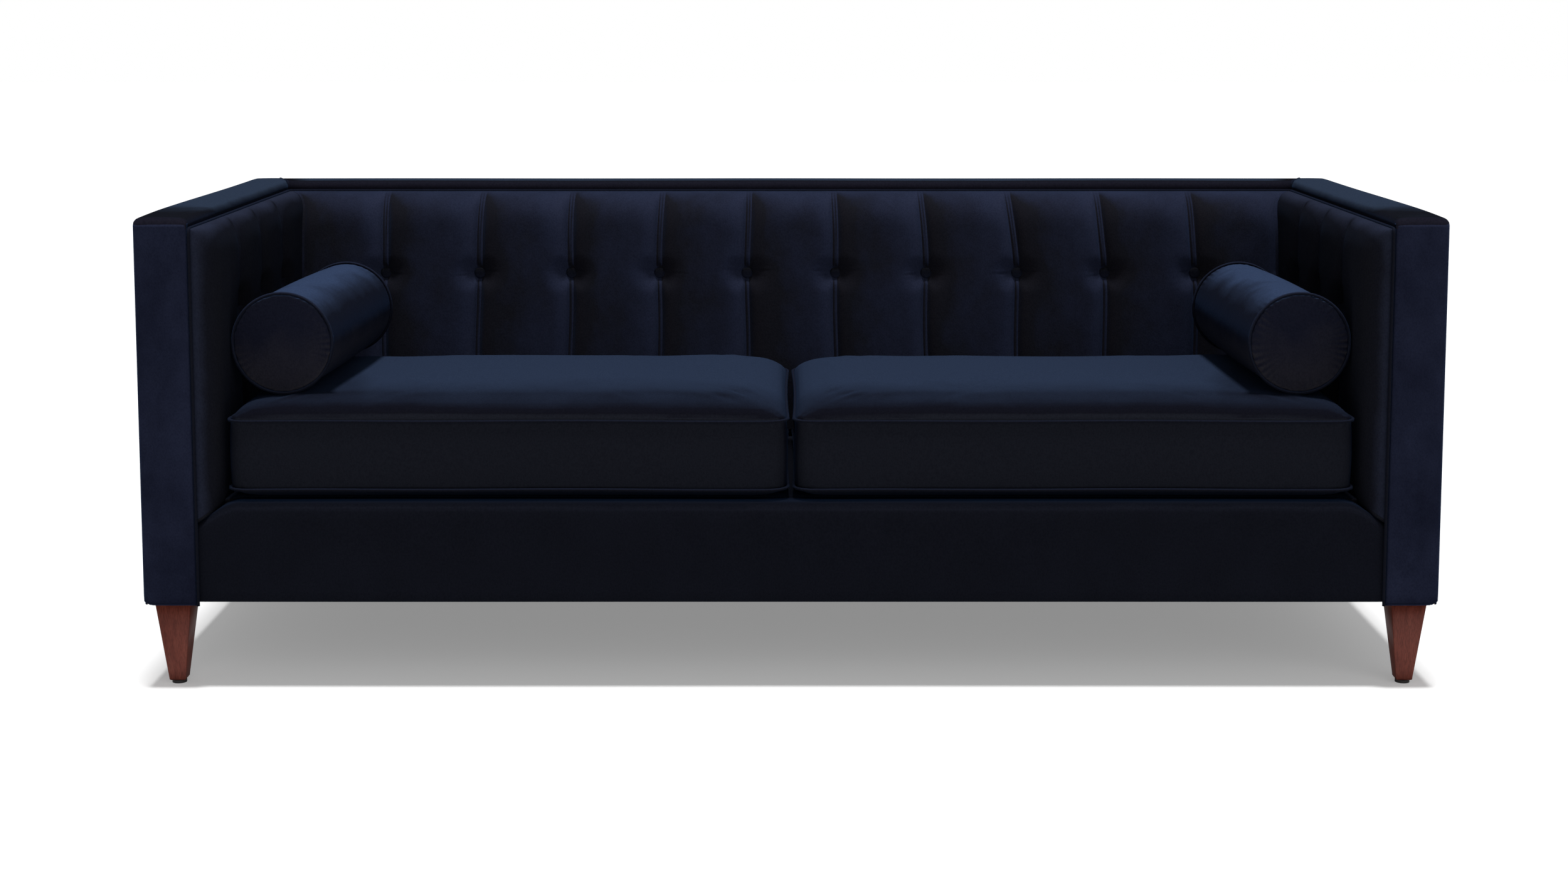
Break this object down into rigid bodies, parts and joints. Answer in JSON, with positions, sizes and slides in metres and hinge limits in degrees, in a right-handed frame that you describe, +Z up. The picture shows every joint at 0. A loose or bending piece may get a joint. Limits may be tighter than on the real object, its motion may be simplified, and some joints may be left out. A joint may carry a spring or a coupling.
{
  "type": "tuxedo sofa",
  "caption": "Tuxedo sofa with arms and back of one height, channelled and buttoned inside, with loose box seat cushions, bolsters and tapered wooden legs.",
  "frame": {"origin": "on the floor, under the middle of the sofa", "axes": "+X to the right along the sofa as seen by someone facing its front, +Y from the front to the back, +Z up"},
  "size_m": [2.134, 0.864, 0.784],
  "materials": {
    "velvet": "midnight blue cut velvet, soft sheen",
    "velvet_trim": "the same velvet, cut on the bias over cord",
    "hardwood": "kiln-dried, unfinished",
    "plywood": "unfinished",
    "stained_wood": "red-brown stain, satin",
    "steel": "plain",
    "foam": "foam with a fibre wrap",
    "felt": "needled fibre pad",
    "black_cloth": "woven dust cloth",
    "glide_plastic": "matte"
  },
  "bodies": {
    "frame": {"front_rail": "hardwood", "back_rail": "hardwood", "side_rail_left": "hardwood", "side_rail_right": "hardwood", "corner_blocks": "hardwood", "post_front_left": "hardwood", "post_front_right": "hardwood", "post_back_left": "hardwood", "post_back_right": "hardwood", "arm_board_left": "plywood", "arm_board_right": "plywood", "arm_studs": "hardwood", "back_top_board": "plywood", "back_ribs": "plywood", "seat_stretchers": "hardwood", "spring_rail_front": "hardwood", "spring_rail_back": "hardwood", "frame_dowels": "hardwood", "seat_springs": "steel", "spring_clips": "steel", "deck_pad": "felt", "deck_cloth": "velvet_trim", "inside_back_board": "plywood", "inside_arm_board_left": "plywood", "inside_arm_board_right": "plywood", "inside_back": "velvet", "inside_arm_left": "velvet", "inside_arm_right": "velvet", "tuft_buttons": "velvet", "band_back": "velvet", "band_arm_left": "velvet", "band_arm_right": "velvet", "arm_front_left": "velvet", "arm_front_right": "velvet", "arm_welts": "velvet_trim", "outside_arm_left": "velvet", "outside_arm_right": "velvet", "outside_back": "velvet", "front_rail_cover": "velvet", "dust_cover": "black_cloth", "leg_front_left": "stained_wood", "leg_front_right": "stained_wood", "leg_back_left": "stained_wood", "leg_back_right": "stained_wood", "leg_bolts": "steel", "leg_tee_nuts": "steel", "glides": "glide_plastic"},
    "cushion_left": {"seat_cushion_left": "velvet", "seat_foam_left": "foam", "seat_welts_left": "velvet_trim"},
    "cushion_right": {"seat_cushion_right": "velvet", "seat_foam_right": "foam", "seat_welts_right": "velvet_trim"},
    "bolster_left": {"bolster_left": "velvet", "bolster_core_left": "foam", "bolster_welts_left": "velvet_trim"},
    "bolster_right": {"bolster_right": "velvet", "bolster_core_right": "foam", "bolster_welts_right": "velvet_trim"}
  },
  "joints": [
    {"name": "cushion_left_lift", "type": "slide", "parent": "frame", "child": "cushion_left", "axis": [0, 0, 1], "range_m": [0, 0.5]},
    {"name": "cushion_right_lift", "type": "slide", "parent": "frame", "child": "cushion_right", "axis": [0, 0, 1], "range_m": [0, 0.5]},
    {"name": "bolster_left_lift", "type": "slide", "parent": "cushion_left", "child": "bolster_left", "axis": [0, 0, 1], "range_m": [0, 0.35]},
    {"name": "bolster_right_lift", "type": "slide", "parent": "cushion_right", "child": "bolster_right", "axis": [0, 0, 1], "range_m": [0, 0.35]}
  ]
}
